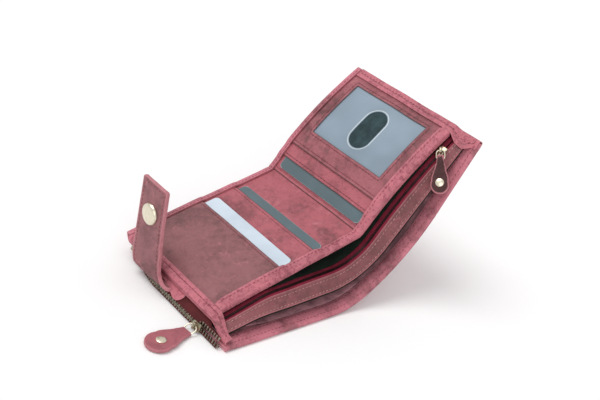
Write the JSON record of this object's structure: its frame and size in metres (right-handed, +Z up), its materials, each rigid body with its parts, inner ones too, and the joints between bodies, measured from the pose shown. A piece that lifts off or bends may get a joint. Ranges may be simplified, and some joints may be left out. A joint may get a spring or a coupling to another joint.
{
  "type": "leather wallet",
  "caption": "Leather wallet lying half open, with card slots, a window pocket, a bill zip, an end coin zip with a pull tab, and an upright snap strap.",
  "frame": {"origin": "on the ground under the middle of the flat left half of the cover", "axes": "+X from the strap end to the window end, +Y from the openings to the closed edge, +Z up"},
  "size_m": [0.2401, 0.1271, 0.1211],
  "materials": {
    "cover": "matt waxed",
    "rose": "matt waxed",
    "dusk": "matt waxed",
    "binding": "matt waxed",
    "strap": "matt waxed",
    "lining": "woven",
    "crimson": "woven tape",
    "dark_metal": "darkened",
    "brass": "antique",
    "pale_gold": "polished",
    "pale": "satin",
    "gray": "satin",
    "film": "clear film",
    "coin_tab": "matt waxed",
    "bill_tab": "matt waxed"
  },
  "bodies": {
    "wallet": {"cover_left": "cover", "panel_left": "rose", "card_strip_left": "rose", "big_pocket": "dusk", "edge_binding_left": "binding", "zip_panel_left": "lining", "pocket_back_left": "lining", "coin_lining": "lining", "bill_tape_upper_left": "crimson", "bill_tape_lower_left": "crimson", "divider_strip_left": "rose", "bill_teeth_left": "dark_metal", "left_end_binding": "binding", "coin_teeth_upper": "brass", "coin_teeth_lower": "brass", "coin_tape_upper": "crimson", "coin_tape_lower": "crimson", "coin_zip_stop": "brass", "strap_anchor_patch": "binding", "strap_root": "strap", "cover_fold": "cover", "panel_fold": "rose", "card_strip_fold": "rose", "edge_binding_fold": "binding", "zip_panel_fold": "lining", "pocket_back_fold": "lining", "bill_tape_upper_fold": "crimson", "bill_tape_lower_fold": "crimson", "divider_strip_fold": "rose", "bill_teeth_fold": "dark_metal"},
    "right_half": {"cover_right": "cover", "panel_right": "rose", "card_strip_lower": "rose", "card_strip_upper": "rose", "window_frame": "rose", "window_film": "film", "card_dark": "gray", "edge_binding_right": "binding", "zip_panel_right": "lining", "pocket_back_right": "lining", "bill_tape_upper_right": "crimson", "bill_tape_lower_right": "crimson", "divider_strip_right": "rose", "bill_teeth_right": "dark_metal", "right_end_binding": "binding", "snap_stud": "pale_gold"},
    "strap": {"strap": "strap", "snap_cap": "pale_gold", "snap_socket": "pale_gold"},
    "coin_slider": {"coin_slider": "brass"},
    "coin_pull": {"coin_pull_loop": "brass", "coin_pull_tab": "coin_tab", "coin_pull_rivet": "pale_gold"},
    "bill_slider": {"bill_slider": "brass"},
    "bill_pull": {"bill_pull_loop": "brass", "bill_pull_tab": "bill_tab", "bill_pull_rivet": "pale_gold"},
    "pale_card": {"card_pale": "pale"},
    "gray_card": {"card_gray": "gray"}
  },
  "joints": [
    {"name": "wallet_fold", "type": "hinge", "parent": "wallet", "child": "right_half", "pos_m": [0.06762, 0, 0.05168], "axis": [0, -1, 0], "range_deg": [-41, 140], "deforming": ["cover_fold", "panel_fold", "card_strip_fold", "edge_binding_fold", "zip_panel_fold", "pocket_back_fold", "bill_tape_upper_fold", "bill_tape_lower_fold", "divider_strip_fold", "bill_teeth_fold"]},
    {"name": "strap_bend", "type": "hinge", "parent": "wallet", "child": "strap", "pos_m": [-0.0502, 0, 0.0116], "axis": [0, -1, 0], "range_deg": [-65, 88], "deforming": ["strap_root"]},
    {"name": "coin_zip_slide", "type": "slide", "parent": "wallet", "child": "coin_slider", "axis": [0, -1, 0], "range_m": [-0.04, 0.008], "deforming": ["coin_teeth_upper", "coin_teeth_lower"]},
    {"name": "coin_pull_swing", "type": "hinge", "parent": "coin_slider", "child": "coin_pull", "pos_m": [-0.05364, -0.034, 0.00441], "axis": [0, 1, 0], "range_deg": [0, 95]},
    {"name": "bill_zip_slide", "type": "hinge", "parent": "right_half", "child": "bill_slider", "pos_m": [0.33525, 0, -0.11427], "axis": [0, 1, 0], "range_deg": [-13.5, 0], "deforming": ["bill_teeth_right"]},
    {"name": "bill_pull_swing", "type": "hinge", "parent": "bill_slider", "child": "bill_pull", "pos_m": [0.1252, -0.04266, 0.10483], "axis": [0.6262, -0.733, 0.2659], "range_deg": [-100, 0]},
    {"name": "pale_card_slide", "type": "slide", "parent": "wallet", "child": "pale_card", "axis": [-0.9613, 0, -0.2756], "range_m": [-0.02, 0]},
    {"name": "gray_card_slide", "type": "slide", "parent": "wallet", "child": "gray_card", "axis": [-0.9613, 0, -0.2756], "range_m": [-0.02, 0]}
  ]
}
